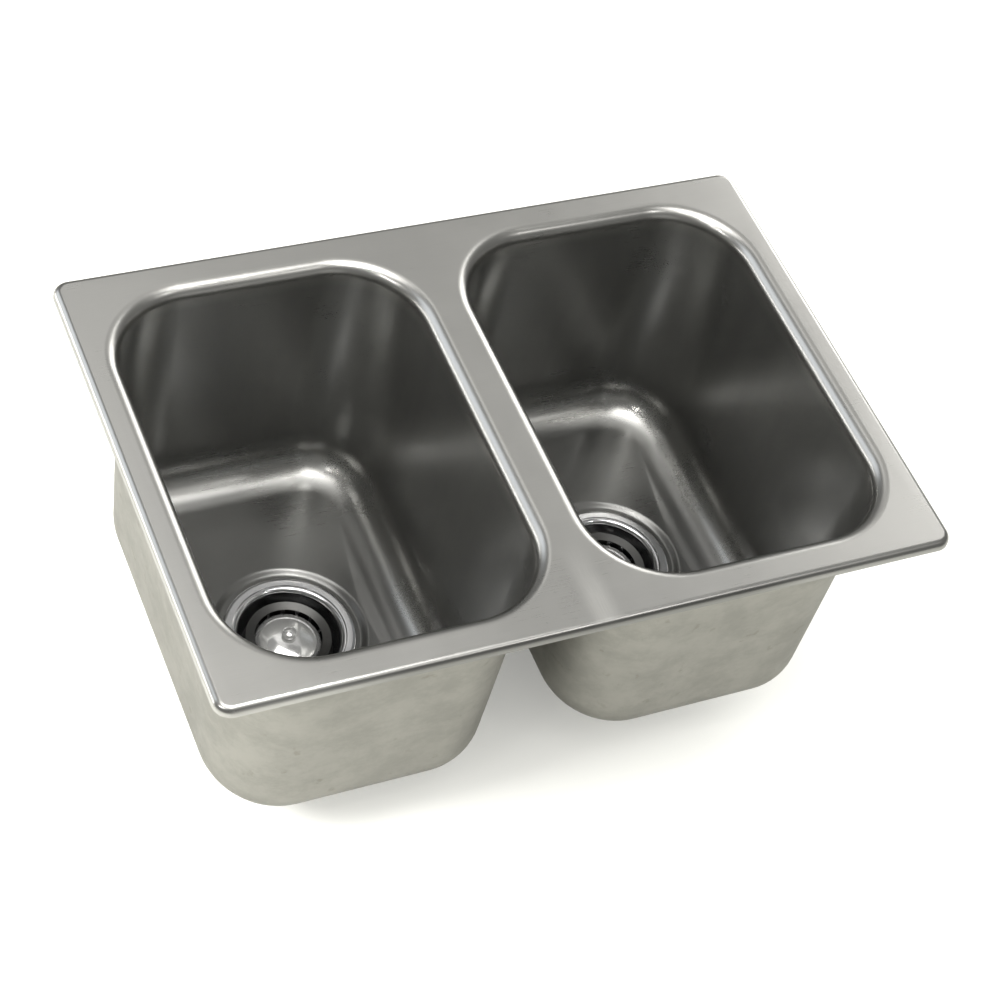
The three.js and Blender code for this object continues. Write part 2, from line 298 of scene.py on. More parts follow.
def tinted(colour: Colour, factor: float) -> Colour:
    """A colour made darker or lighter."""
    return tuple(min(1.0, part * factor) for part in colour)


@dataclass
class Face:
    """A satin face while its layers are laid on."""

    colour: NodeSocket
    roughness: Term
    metallic: Term
    relief: Term = 1.0


@dataclass(frozen=True)
class SatinSteel:
    """Stainless sheet with a satin face, brushing lines, water marks and handling marks, and where asked
    painted shade on the flange's edges and in the bowl, with a painted highlight on its cove.
    """

    name: str
    colour: Colour
    roughness: float
    grain: Grain
    clouding: float
    marks: float = 0.0
    haze: float = 0.0
    sheen: float = 0.0
    # Grinds the weld's band and paints shade on the flange's front and right edges.
    ground_seam_and_edge_shade: bool = False
    # The colour inside the bowl, darker than the sheet's own: painted shade.
    inside: Colour | None = None

    def build(self) -> Material:
        """Makes the material."""
        shader = Shader(self.name)
        lines = shader.noise(self.grain.value, detail=4.0, roughness=0.6)
        clouds = shader.noise((11.0, 11.0, 14.0), detail=5.0, roughness=0.6, offset=3.1)
        specks = shader.noise(140.0, detail=2.0, offset=7.7)
        tone = 1.0 + (lines - 0.5) * 0.08 + (clouds - 0.5) * (2.0 * self.clouding)
        face = Face(
            colour=shader.blend((tone - 0.55) / 0.9, tinted(self.colour, 0.62), tinted(self.colour, 1.45)),
            roughness=self.roughness + (lines - 0.5) * 0.08 + (clouds - 0.5) * 0.14,
            metallic=1.0 - self.haze,
        )
        if self.ground_seam_and_edge_shade:
            self._grind_seam_and_shade_edges(shader, face)
        if self.marks > 0:
            self._stain(shader, face)
        if self.inside is not None:
            self._paint_bowl_shade(shader, face)
        return shader.finish(
            Base_Color=face.colour,
            Metallic=face.metallic,
            Roughness=face.roughness,
            Normal=shader.bump((lines * 0.7 + specks * 0.3) * face.relief, 0.02 * MM),
            Coat_Weight=self.sheen,
            Coat_Roughness=0.17,
        )

    def _grind_seam_and_shade_edges(self, shader: Shader, face: Face) -> None:
        """Grinds a band over the weld and paints shade on the front and right edges of the flange."""
        x, y, _ = shader.axes()
        band = x.size().step(*SEAM_BESIDE_MIDDLE) * y.step(*SEAM_TO_FRONT)
        cross = shader.noise((1400.0, 60.0, 60.0), detail=3.0, offset=1.3)
        face.colour = shader.blend(band * cross * 0.5, face.colour, tinted(self.colour, 1.45))
        face.roughness = face.roughness + band * 0.08
        # Painted shade: the front edge is darkened, less towards the right, and so is the right edge.
        front = (y - FRONT).step(*SHADE_FROM_EDGE) * x.step(*FRONT_SHADE_STARTS)
        front = front * (1.0 - x.step(*FRONT_SHADE_FADES) * 0.55)
        side = (RIGHT - x).step(*SHADE_FROM_EDGE)
        face.colour = shader.blend(front.at_least(side) * 0.85, face.colour, tinted(self.colour, 0.42))

    def _stain(self, shader: Shader, face: Face) -> None:
        """Lays on water marks and dried drops."""
        smears = shader.noise((24.0, 24.0, 32.0), detail=7.0, roughness=0.72, offset=11.0)
        stain = smears.step(0.36, 0.66) * self.marks
        spots = shader.noise(75.0, detail=3.0, roughness=0.5, offset=21.0)
        drops = spots.step(0.64, 0.74) * self.marks
        wet = shader.blend(stain, face.colour, tinted(self.colour, 0.80))
        face.colour = shader.blend(drops * 0.5, wet, DRIED_DROP)
        face.roughness = face.roughness + stain * 0.08

    def _paint_bowl_shade(self, shader: Shader, face: Face) -> None:
        """Dulls the inside of the bowl, paints shade on it, darkest on its floor, and paints a highlight on
        the cove.
        """
        _, _, z = shader.axes()
        below = z - FLANGE_TOP
        depth = below.step(*BOWL_MOUTH)
        floor = below.step(*BOWL_FLOOR)
        cove = below.step(*BOWL_COVE) * (1.0 - floor)
        film = shader.noise((26.0, 26.0, 5.0), detail=3.0, roughness=0.5, offset=31.0).step(0.30, 0.72)
        # Painted shade: the inside takes a darker colour, with lighter patches of film.
        deep = shader.blend(film * 0.3, self.inside, tinted(self.inside, 1.3))
        # Painted highlight: the cove is lightened towards the sheet's own colour.
        deep = shader.blend(cove * 0.5, deep, self.colour)
        # Painted shade: the floor of the bowl is darkest.
        deep = shader.blend(floor * 0.8, deep, tinted(self.inside, 0.42))
        face.colour = shader.blend(depth, face.colour, deep)
        face.roughness = face.roughness - cove * 0.02
        face.metallic = 1.0 - depth * 0.035
        face.relief = 1.0 - depth * 0.85


@dataclass(frozen=True)
class PolishedSteel:
    """Bright steel with light scuffs and a thin film."""

    name: str
    colour: Colour
    roughness: float = 0.12
    wear: float = 0.25
    haze: float = 0.0

    def build(self) -> Material:
        """Makes the material."""
        shader = Shader(self.name)
        scuffs = shader.noise(420.0, detail=5.0, roughness=0.7)
        film = shader.noise(45.0, detail=3.0, offset=5.0)
        worn = scuffs.step(0.52, 0.72) * self.wear
        colour = shader.blend(film.step(0.3, 0.8) * 0.5, self.colour, tinted(self.colour, 0.78))
        return shader.finish(
            Base_Color=shader.blend(worn, colour, tinted(self.colour, 0.6)),
            Metallic=1.0 - self.haze,
            Roughness=self.roughness + worn * 0.5 + film * 0.06,
            Normal=shader.bump(scuffs, 0.01 * MM),
        )


@dataclass(frozen=True)
class CastZinc:
    """Dull die cast nut with a grainy skin."""

    name: str
    colour: Colour

    def build(self) -> Material:
        """Makes the material."""
        shader = Shader(self.name)
        skin = shader.noise(900.0, detail=4.0, roughness=0.7)
        bloom = shader.noise(60.0, detail=4.0, offset=2.0)
        return shader.finish(
            Base_Color=shader.blend(bloom.step(0.35, 0.7), self.colour, tinted(self.colour, 0.7)),
            Metallic=0.9,
            Roughness=0.42 + skin * 0.22,
            Normal=shader.bump(skin, 0.06 * MM),
        )


@dataclass(frozen=True)
class DullSheet:
    """Rubber or pressed fibre with a fine texture and a dusty bloom."""

    name: str
    colour: Colour
    dust: Colour
    roughness: float

    def build(self) -> Material:
        """Makes the material."""
        shader = Shader(self.name)
        fine = shader.noise(1300.0, detail=4.0, roughness=0.7)
        patches = shader.noise((70.0, 70.0, 200.0), detail=4.0, offset=4.0)
        return shader.finish(
            Base_Color=shader.blend(patches.step(0.4, 0.8) * 0.5 + fine * 0.15, self.colour, self.dust),
            Roughness=self.roughness + fine * 0.12,
            Normal=shader.bump(fine, 0.08 * MM),
        )


Finish = Union[SatinSteel, PolishedSteel, CastZinc, DullSheet]

GROUND_STEEL = SatinSteel(
    "ground_steel",
    colour=(0.60, 0.595, 0.57),
    roughness=0.30,
    grain=Grain.ALONG_X,
    clouding=0.08,
    sheen=0.6,
    ground_seam_and_edge_shade=True,
)
# Its inside colour is painted shade, darker than the flange's own steel.
PRESSED_STEEL = replace(GROUND_STEEL, name="pressed_steel", inside=(0.34, 0.34, 0.328))
# Its colour is darker than the flange's: partly the outer face's own duller finish, partly painted shade for
# the shaded floor it mirrors.
OUTER_STEEL = SatinSteel(
    "outer_steel",
    colour=(0.44, 0.433, 0.398),
    roughness=0.42,
    grain=Grain.LEVEL,
    clouding=0.17,
    marks=0.65,
    haze=0.06,
)
BRIGHT_STEEL = PolishedSteel("bright_steel", (0.74, 0.74, 0.75))
DOME_STEEL = PolishedSteel("dome_steel", (0.92, 0.92, 0.91), 0.10, 0.2, haze=0.2)
PLATED_STEEL = PolishedSteel("plated_steel", (0.52, 0.52, 0.51), 0.26, 0.4)
# Painted shade: the basket is painted near black for the shade down in the drain cup.
SHADED_BASKET_STEEL = PolishedSteel("basket_steel_painted_shade", (0.12, 0.12, 0.116), 0.26, 0.4)
CAST_ZINC = CastZinc("cast_zinc", (0.50, 0.50, 0.48))
BLACK_RUBBER = DullSheet("black_rubber", (0.022, 0.022, 0.024), (0.07, 0.07, 0.068), 0.62)
PRESSED_FIBRE = DullSheet("pressed_fibre", (0.30, 0.23, 0.15), (0.42, 0.35, 0.25), 0.78)


# ---------- hand modelling ----------


class Workpiece:
    """One mesh at the world origin, shaped in edit mode by the usual modelling steps."""

    def __init__(self, name: str) -> None:
        """Adds a plane and goes into edit mode.

        Args:
            name: The piece's name.
        """
        bpy.ops.object.select_all(action="DESELECT")
        bpy.ops.mesh.primitive_plane_add(size=1, location=(0, 0, 0))
        self.object = bpy.context.object
        self.object.name = name
        bpy.ops.object.mode_set(mode="EDIT")

    def pick(self, kind: str, test: Callable[[Any], bool]) -> int:
        """Selects edges or faces by a test and nothing else.

        Args:
            kind: edges or faces.
            test: Says whether an element is wanted.

        Returns:
            How many were selected.
        """
        bpy.ops.mesh.select_mode(type={"edges": "EDGE", "faces": "FACE"}[kind])
        bpy.ops.mesh.select_all(action="DESELECT")
        mesh = bmesh.from_edit_mesh(self.object.data)
        wanted = [element for element in getattr(mesh, kind) if test(element)]
        for element in wanted:
            element.select_set(True)
        mesh.select_flush_mode()
        bmesh.update_edit_mesh(self.object.data)
        return len(wanted)

    def pick_open(self, low: float, high: float) -> int:
        """Selects the open edges between two heights.

        Args:
            low: The lower height.
            high: The upper height.

        Returns:
            How many were selected.
        """

        def open_here(edge: Any) -> bool:
            """Whether an edge is open and lies between the heights."""
            return (edge.is_boundary or edge.is_wire) and all(low < vert.co.z < high for vert in edge.verts)

        return self.pick("edges", open_here)

    def pick_all(self) -> None:
        """Selects the whole mesh."""
        bpy.ops.mesh.select_all(action="SELECT")

    def move(self, x: float = 0.0, y: float = 0.0, z: float = 0.0) -> None:
        """Moves what is selected."""
        bpy.ops.transform.translate(value=(x, y, z))

    def scale(self, x: float, y: float, about: Vector) -> None:
        """Scales what is selected in plan about a point."""
        bpy.ops.transform.resize(value=(x, y, 1), center_override=tuple(about))

    def inset(self, inward: float, up: float) -> None:
        """Insets the selected face and moves the new face up."""
        bpy.ops.mesh.inset(thickness=inward, depth=up, use_boundary=True, use_even_offset=True)

    def draw_out(self, way: Vector) -> None:
        """Extrudes what is selected and moves the new end."""
        bpy.ops.mesh.extrude_region_move(TRANSFORM_OT_translate={"value": tuple(way)})

    def bridge(self, **settings: Any) -> None:
        """Joins the two selected loops of edges by faces."""
        bpy.ops.mesh.bridge_edge_loops(type="SINGLE", **settings)

    def open_up(self) -> None:
        """Takes the selected faces away and leaves their edges."""
        bpy.ops.mesh.delete(type="ONLY_FACE")

    def cut_off(self, x: float, side: int) -> None:
        """Cuts off all that lies beyond x on one side."""
        self.pick_all()
        bpy.ops.mesh.bisect(plane_co=(x, 0, 0), plane_no=(side, 0, 0), clear_outer=True)

    def outline(self, centre: Vector, half: Point, corner: float, segments: int, fresh: bool = True) -> None:
        """Lays a flat face with rounded corners and leaves it selected.

        Args:
            centre: The middle of the face.
            half: Half its size along X and Y.
            corner: The radius of its corners.
            segments: Facets of a corner.
            fresh: Adds a new plane. Otherwise the starting plane is used.
        """
        if fresh:
            bpy.ops.mesh.select_all(action="DESELECT")
            bpy.ops.mesh.primitive_plane_add(size=1, location=(0, 0, 0))
        else:
            self.pick_all()
        bpy.ops.mesh.select_mode(type="VERT")
        self.scale(2 * half[0], 2 * half[1], Vector((0, 0, 0)))
        self.move(*centre)
        bpy.ops.mesh.bevel(
            offset=corner,
            offset_type="OFFSET",
            segments=segments,
            profile=0.5,
            affect="VERTICES",
            clamp_overlap=False,
        )
        bpy.ops.mesh.select_mode(type="FACE")

    def follow(self, path: list[Point]) -> None:
        """Draws the selected face along a path of offsets inward and up by insets, from the first of them."""
        for (inward, up), (next_inward, next_up) in zip(path, path[1:]):
            self.inset(next_inward - inward, next_up - up)

    def spin_outline(self, profile: Iterable[Point], steps: int, closed: bool = True) -> None:
        """Draws an outline from a single vertex and spins it round the Z axis.

        Args:
            profile: Radius and height of each point.
            steps: Facets round the axis.
            closed: Joins the last point to the first.
        """
        points = [Vector((radius, 0.0, height)) for radius, height in profile]
        route = [*points, points[0]] if closed else points
        bpy.ops.mesh.select_mode(type="VERT")
        self.pick_all()
        bpy.ops.mesh.merge(type="CENTER")
        self.move(*points[0])
        for start, end in zip(route, route[1:]):
            self.draw_out(end - start)
        self.pick_all()
        bpy.ops.mesh.remove_doubles(threshold=0.001 * MM)
        bpy.ops.mesh.spin(steps=steps, angle=2 * math.pi, center=(0, 0, 0), axis=(0, 0, 1))
        self.pick_all()
        bpy.ops.mesh.remove_doubles(threshold=0.002 * MM)
        self.even_normals()

    def even_normals(self) -> None:
        """Turns all faces the same way, outwards on a closed mesh."""
        self.pick_all()
        bpy.ops.mesh.normals_make_consistent(inside=False)

    def turn(self, test: Callable[[Any], bool], up: bool) -> None:
        """Turns all faces of a skin to one side.

        Args:
            test: Says which faces show the side that the skin is turned to.
            up: Whether those faces look up in the end.
        """
        self.even_normals()
        faces = bmesh.from_edit_mesh(self.object.data).faces
        if (sum(face.normal.z for face in faces if test(face)) > 0) != up:
            bpy.ops.mesh.flip_normals()

    def leave(self) -> None:
        """Goes back to object mode."""
        bpy.ops.object.mode_set(mode="OBJECT")

    def modify(self, kind: str, **settings: Any) -> None:
        """Adds a modifier and applies it, in object mode.

        Args:
            kind: The modifier's type.
            settings: Its properties.
        """
        modifier = self.object.modifiers.new(kind.lower(), kind)
        for key, setting in settings.items():
            setattr(modifier, key, setting)
        bpy.ops.object.modifier_apply(modifier=modifier.name)

    def thicken(self, sheet: float, **settings: Any) -> None:
        """Leaves edit mode and gives the skin a sheet's thickness on its back."""
        self.leave()
        self.modify("SOLIDIFY", thickness=sheet, offset=-1.0, use_even_offset=True, **settings)

    def done(self, crease: float = CREASE) -> bpy.types.Object:
        """Leaves edit mode and smooths the shading.

        Args:
            crease: Edges sharper than this, in degrees, stay crisp.

        Returns:
            The finished object.
        """
        if self.object.mode == "EDIT":
            self.even_normals()
            self.leave()
        bpy.ops.object.shade_smooth_by_angle(angle=math.radians(crease))
        self.modify("WEIGHTED_NORMAL", keep_sharp=True)
        return self.object


def dress(piece: bpy.types.Object, finishes: list[Material], slot: str, body: str, *nodes: str) -> None:
    """Gives a piece its materials, its body and the nodes that it stands for.

    Args:
        piece: The piece.
        finishes: Materials to add. None, where its faces already have theirs.
        slot: The record's material slot. Not used.
        body: The body that it rides on.
        nodes: The nodes that it replaces.
    """
    for finish in finishes:
        piece.data.materials.append(finish)
    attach(piece, body)
    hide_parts(*nodes)
    LOG.info("%s rides on %s", piece.name, body)


def arc(centre: Point, radius: Point, start: float, end: float, steps: int) -> list[Point]:
    """Points on an arc between two angles in degrees. The radius is given across and up."""
    angles = [math.radians(start + (end - start) * step / steps) for step in range(steps + 1)]
    return [(centre[0] + radius[0] * math.cos(a), centre[1] + radius[1] * math.sin(a)) for a in angles]


# ---------- pressed steel ----------


@dataclass(frozen=True)
class FlangeEdge:
    """The rolled and turned down edge that runs round the flange."""

    roll: float = 6 * MM
    skirt: float = 2 * MM
    steps: int = 8

    def draw(self, work: Workpiece) -> None:
        """Raises the skirt and rolls it in to the flat, from the flat outline that is selected."""
        roll = arc((self.roll, self.skirt), (self.roll, self.roll), 180, 90, self.steps)
        work.follow([(0.0, 0.0), *roll])


@dataclass
class PressedHalf:
    """One deep drawn bowl with its half of the flange, as one pressed skin."""

    hand: Hand
    edge: FlangeEdge = FlangeEdge()
    sheet: float = 1.2 * MM
    bowl_corner: float = 68 * MM
    rim_roll: float = 12 * MM
    rim_steps: int = 10
    cove: float = 36.8 * MM
    cove_steps: int = 14
    wall_steps: int = 6
    side_taper: float = 8.5 * MM
    end_taper: float = 3 * MM
    flange_corner: float = 14 * MM
    floor_fall: float = 2 * MM
    floor_cuts: int = 4
    recess_radius: float = 68 * MM
    recess_depth: float = 3 * MM
    recess_steps: int = 8
    seat_radius: float = 60 * MM
    hole_radius: float = 45.7 * MM
    corner_segments: int = 16
    weld_overrun: float = 40 * MM

    def __post_init__(self) -> None:
        """Reads the place and size of the half from the frame."""
        low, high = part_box(self.hand.of("flange"))
        bowl_low, bowl_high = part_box(self.hand.of("bowl"))
        self.side = 1 if self.hand is Hand.RIGHT else -1
        self.top = high.z
        self.weld_x = low.x if self.side > 0 else high.x
        self.end_x = high.x if self.side > 0 else low.x
        self.half_y = high.y
        self.centre_x = (bowl_low.x + bowl_high.x) / 2
        self.seat_z = bowl_low.z + self.sheet
        self.edge_z = self.seat_z + self.recess_depth
        self.floor_z = self.edge_z + self.floor_fall
        self.wall_x = (bowl_high.x - bowl_low.x) / 2 - self.sheet
        self.wall_y = (bowl_high.y - bowl_low.y) / 2 - self.sheet

    def build(self) -> None:
        """Draws the flange and the bowl, joins them, cuts the weld edge and gives the sheet its thickness."""
        work = Workpiece(self.hand.of("pressing"))
        self._draw_flange(work)
        self._draw_bowl(work)
        work.pick_open(self.top - HAIR, self.top + HAIR)
        work.bridge()
        self._press_drain_seat(work)
        work.cut_off(self.weld_x, -self.side)
        work.turn(self._is_flat_of_flange, up=True)
        for finish in (PRESSED_STEEL, OUTER_STEEL):
            work.object.data.materials.append(finish.build())
        work.thicken(self.sheet, material_offset=1)
        nodes = (self.hand.of("flange"), self.hand.of("bowl"))
        dress(work.done(), [], "satin_steel", "sink", *nodes)

    def _is_flat_of_flange(self, face: Any) -> bool:
        """Whether a face lies in the flat of the flange."""
        return abs(face.normal.z) > 0.99 and face.calc_center_median().z > self.top - NEAR

    def _draw_flange(self, work: Workpiece) -> None:
        """Lays the outline of the half, run on past the weld, and rolls its edge up and in."""
        inner_x = self.weld_x - self.side * self.weld_overrun
        centre = Vector(((self.end_x + inner_x) / 2, 0, self.top - self.edge.roll - self.edge.skirt))
        half = (abs(self.end_x - inner_x) / 2, self.half_y)
        work.outline(centre, half, self.flange_corner, self.corner_segments, fresh=False)
        self.edge.draw(work)
        work.open_up()

    def _draw_bowl(self, work: Workpiece) -> None:
        """Draws the rim roll, the leaning wall and the cove down from the mouth."""
        roll, cove = self.rim_roll, self.cove
        centre = Vector((self.centre_x, 0, self.top))
        mouth = (self.wall_x + roll, self.wall_y + roll)
        work.outline(centre, mouth, self.bowl_corner + roll, self.corner_segments)
        work.follow(arc((0, -roll), (roll, roll), 90, 0, self.rim_steps))
        drop = (self.top - roll - self.floor_z - cove) / self.wall_steps
        end_step = self.end_taper / self.wall_steps
        side_step = (self.side_taper - self.end_taper) / self.wall_steps
        half_x = self.wall_x
        for _ in range(self.wall_steps):
            work.inset(end_step, -drop)
            half_x -= end_step
            work.scale((half_x - side_step) / half_x, 1, Vector((self.centre_x, 0, 0)))
            half_x -= side_step
        work.follow(arc((cove, 0), (cove, cove), 180, 270, self.cove_steps))
        work.open_up()

    def _press_drain_seat(self, work: Workpiece) -> None:
        """Bridges the open floor to a circle and presses the drain seat into it."""
        count = work.pick_open(self.floor_z - NEAR, self.floor_z + NEAR)
        middle = Vector((self.centre_x, 0, self.edge_z))
        bpy.ops.mesh.primitive_circle_add(
            vertices=count, radius=self.recess_radius, location=middle, fill_type="NOTHING"
        )
        work.pick_open(self.seat_z, self.floor_z + NEAR)
        work.bridge(number_cuts=self.floor_cuts, smoothness=0.0)
        shares = [step / self.recess_steps for step in range(1, self.recess_steps + 1)]
        narrowing = self.seat_radius - self.recess_radius
        slope = [
            (self.recess_radius + narrowing * share, self.recess_depth * (1 - math.cos(math.pi * share)) / 2)
            for share in shares
        ]
        radius = self.recess_radius
        for next_radius, drop in [*slope, (self.hole_radius, self.recess_depth)]:
            work.pick_open(self.seat_z - NEAR, self.floor_z - self.floor_fall / 2)
            bpy.ops.mesh.extrude_edges_move()
            level = bmesh.from_edit_mesh(work.object.data)
            height = next(vert.co.z for vert in level.verts if vert.select)
            work.scale(next_radius / radius, next_radius / radius, middle)
            work.move(z=self.edge_z - drop - height)
            radius = next_radius


@dataclass
class CentreWeld:
    """The weld that joins the two halves, ground level with them."""

    edge: FlangeEdge = FlangeEdge()
    sheet: float = 1.2 * MM
    overrun: float = 30 * MM
    corner: float = 7 * MM
    corner_segments: int = 8

    def build(self) -> None:
        """Rolls the edges of a wider strip, cuts it to the weld's width and gives it its thickness."""
        low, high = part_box("centre_weld")
        work = Workpiece("centre_weld_ground")
        half = (high.x + self.overrun, high.y)
        work.outline(Vector((0, 0, low.z)), half, self.corner, self.corner_segments, fresh=False)
        self.edge.draw(work)
        for side in (-1, 1):
            work.cut_off(side * high.x, side)
        work.even_normals()
        work.thicken(self.sheet)
        dress(work.done(), [GROUND_STEEL.build()], "ground_weld", "sink", "centre_weld")


# ---------- drains ----------


@dataclass
class Fitting:
    """A piece of a drain, modelled once round the world origin and copied to both bowls."""

    node: str
    finish: Finish
    slot: str
    body: str = "sink"
    crease: float = CREASE

    def place(self, work: Workpiece) -> None:
        """Finishes the piece and sets one in each bowl.

        Args:
            work: The piece, modelled with the seat of the drain at the world origin.
        """
        first = work.done(self.crease)
        second = first.copy()
        second.data = first.data.copy()
        bpy.context.scene.collection.objects.link(second)
        finish = self.finish.build()
        for hand, piece in zip(Hand, (first, second)):
            piece.name = hand.of(f"{self.node}_fitted")
            piece.data.transform(Matrix.Translation(drain_centre(hand)))
            dress(piece, [finish], self.slot, self.body.format(hand=hand.value), hand.of(self.node))

    def spin(self, outline: list[Point], steps: int) -> None:
        """Spins the piece from its outline and sets one in each bowl.

        Args:
            outline: Radius and height of each point.
            steps: Facets round the axis.
        """
        work = Workpiece(self.node)
        work.spin_outline(outline, steps)
        self.place(work)


def drain_centre(hand: Hand) -> Vector:
    """The middle of a drain at the height of its seat."""
    low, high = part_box(hand.of("flange_seal"))
    return Vector(((low.x + high.x) / 2, (low.y + high.y) / 2, low.z))


def directions(number: int, count: int) -> tuple[Vector, Vector]:
    """The directions outward and across of one of several arms or lugs that stand evenly round the axis."""
    turn = 2 * math.pi * number / count
    return Vector((math.cos(turn), math.sin(turn), 0)), Vector((-math.sin(turn), math.cos(turn), 0))


def ridges(radius: float, top: float, bottom: float, pitch: float, depth: float) -> list[Point]:
    """A thread's ridges as seen in section, from the top down.

    Args:
        radius: The radius of the crests.
        top: Where the thread starts.
        bottom: Where it ends at the latest.
        pitch: The distance between ridges.
        depth: How deep the valleys are. It is negative on a bore.

    Returns:
        The points.
    """
    count = int((top - bottom) / pitch)
    points = []
    for turn in range(count):
        height = top - turn * pitch
        points += [(radius, height), (radius, height - 0.2 * pitch), (radius - depth, height - 0.6 * pitch)]
    return [*points, (radius, top - count * pitch)]


@dataclass
class StrainerBody:
    """The polished cup that is clamped in the drain seat, with its threaded barrel and outlet."""

    flange_radius: float = 57 * MM
    crest_radius: float = 53.5 * MM
    crest: float = 3.2 * MM
    dish: Point = (4.5 * MM, 0.35 * MM)
    seal: float = 0.8 * MM
    mouth: float = 43.7 * MM
    mouth_roll: float = 4.5 * MM
    mouth_drop: float = 1.1 * MM
    upright: float = 4 * MM
    waist: Point = (0.5 * MM, 12 * MM)
    wall: float = 1.6 * MM
    cup_depth: float = 27 * MM
    foot: float = 33 * MM
    bore: float = 19 * MM
    bore_roll: float = 2 * MM
    outlet_wall: float = 4.2 * MM
    outlet_foot: float = -40 * MM
    chamfer: float = 0.6 * MM
    pitch: float = 2 * MM
    barrel_thread: float = 0.6 * MM
    outlet_thread: float = 0.7 * MM
    bend_steps: int = 10
    roll_steps: int = 8
    steps: int = 96

    def build(self) -> None:
        """Spins the cup in one outline: outlet, barrel, flange and inner face."""
        bend = self.mouth - self.foot - self.wall
        floor = -self.cup_depth
        barrel, outlet = self.mouth + self.wall, self.bore + self.outlet_wall
        foot, end = self.outlet_foot, self.outlet_foot + self.chamfer
        outer_bend = (bend + self.wall, bend + self.wall)
        outlet_top, barrel_end = floor - self.wall - self.pitch / 2, floor + bend + self.pitch
        outside = [
            (self.bore, end),
            (self.bore + self.chamfer, foot),
            (outlet - self.chamfer, foot),
            *reversed(ridges(outlet, outlet_top, end, self.pitch, self.outlet_thread)),
            (outlet, floor - self.wall),
            *arc((self.foot, floor + bend), outer_bend, 270, 360, self.bend_steps)[1:],
            *reversed(ridges(barrel, -self.wall, barrel_end, self.pitch, self.barrel_thread)),
            (barrel, self.seal),
            (self.flange_radius, self.seal),
        ]
        crown = (self.flange_radius - self.crest_radius, self.crest - self.seal)
        rim, throat = self.mouth + self.mouth_roll, self.crest - self.mouth_drop
        rounded = arc((self.crest_radius, self.seal), crown, 12, 90, self.roll_steps)
        slope = [(self.crest_radius - self.dish[0], self.crest - self.dish[1]), (rim, throat)]
        roll, lip = (self.mouth_roll, self.mouth_roll), (self.bore_roll, self.bore_roll)
        inside = [
            *arc((rim, throat - self.mouth_roll), roll, 84, 180, self.roll_steps),
            (self.mouth, -self.upright),
            (self.mouth - self.waist[0], -self.waist[1]),
            *arc((self.foot, floor + bend), (bend, bend), 360, 270, self.bend_steps),
            (self.bore + self.bore_roll + MM, floor),
            *arc((self.bore + self.bore_roll, floor - self.bore_roll), lip, 90, 180, 5),
        ]
        cup = Fitting("strainer_body", BRIGHT_STEEL, "polished_steel")
        cup.spin([*outside, *rounded, *slope, *inside], self.steps)


@dataclass
class FlatRing:
    """A washer, gasket or seal with rounded edges."""

    node: str
    inner: float
    outer: float
    low: float
    high: float
    finish: Finish
    slot: str
    body: str = "sink"
    rounding: float = 0.3 * MM
    steps: int = 96

    def build(self) -> None:
        """Spins the ring."""
        r = min(self.rounding, 0.45 * (self.high - self.low))
        corners = (
            ((self.inner + r, self.low + r), 180),
            ((self.outer - r, self.low + r), 270),
            ((self.outer - r, self.high - r), 0),
            ((self.inner + r, self.high - r), 90),
        )
        outline = [point for centre, start in corners for point in arc(centre, (r, r), start, start + 90, 3)]
        Fitting(self.node, self.finish, self.slot, self.body).spin(outline, self.steps)


@dataclass
class LuggedNut:
    """A die cast ring nut with lugs round its side."""

    node: str
    bore: float
    outer: float
    low: float
    height: float
    lugs: int
    reach: float
    lug_width: float
    lip_bore: float | None = None
    lip: float = 0.0
    chamfer: float = 0.8 * MM
    pitch: float = 2 * MM
    thread: float = -0.5 * MM
    crease: float = 30.0
    steps: int = 120

    def build(self) -> None:
        """Spins the ring with its chamfers and draws the lugs out of its side."""
        chamfer, low, top = self.chamfer, self.low, self.low + self.height
        foot = [(self.bore, low + chamfer), (self.bore + chamfer, low)]
        if self.lip_bore is not None:
            foot = [(self.bore, low + self.lip), (self.lip_bore, low + self.lip), (self.lip_bore, low)]
        outline = [
            *foot,
            (self.outer - chamfer, low),
            (self.outer, low + chamfer),
            (self.outer, top - chamfer),
            (self.outer - chamfer, top),
            (self.bore + chamfer, top),
            *ridges(self.bore, top - chamfer, low + self.lip + chamfer, self.pitch, self.thread),
        ]
        work = Workpiece(self.node)
        work.spin_outline(outline, self.steps)
        for lug in range(self.lugs):
            outward, across = directions(lug, self.lugs)

            def on_lug(face: Any) -> bool:
                """Whether a face is where the lug grows out of the side."""
                middle = face.calc_center_median()
                return (
                    abs(math.hypot(middle.x, middle.y) - self.outer) < 2 * NEAR
                    and abs(middle.z - (low + top) / 2) < self.height / 2 - chamfer
                    and middle.dot(outward) > 0
                    and abs(middle.dot(across)) < self.lug_width / 2
                )

            work.pick("faces", on_lug)
            work.draw_out(outward * (self.reach - chamfer))
            work.inset(chamfer, chamfer)
        Fitting(self.node, CAST_ZINC, "zinc_alloy", crease=self.crease).place(work)


@dataclass
class Crossbar:
    """The spider in the outlet that guides the foot of the basket's post."""

    hole: float = 3.3 * MM
    hub: float = 6.5 * MM
    reach: float = 18.7 * MM
    low: float = -33 * MM
    height: float = 2 * MM
    arm_width: float = 4 * MM
    arms: int = 3
    steps: int = 60

    def build(self) -> None:
        """Spins the hub and draws the arms out of its side."""
        low, top = self.low, self.low + self.height
        work = Workpiece("outlet_crossbar")
        work.spin_outline([(self.hole, low), (self.hub, low), (self.hub, top), (self.hole, top)], self.steps)
        for arm in range(self.arms):
            outward, across = directions(arm, self.arms)

            def on_arm(face: Any) -> bool:
                """Whether a face is where the arm grows out of the hub."""
                middle = face.calc_center_median()
                return (
                    abs(face.normal.z) < 0.1
                    and middle.dot(outward) > self.hub * 0.8
                    and abs(middle.dot(across)) < self.arm_width / 2
                )

            work.pick("faces", on_arm)
            work.draw_out(outward * (self.reach - self.hub))
        Fitting("outlet_crossbar", PLATED_STEEL, "plated_steel").place(work)


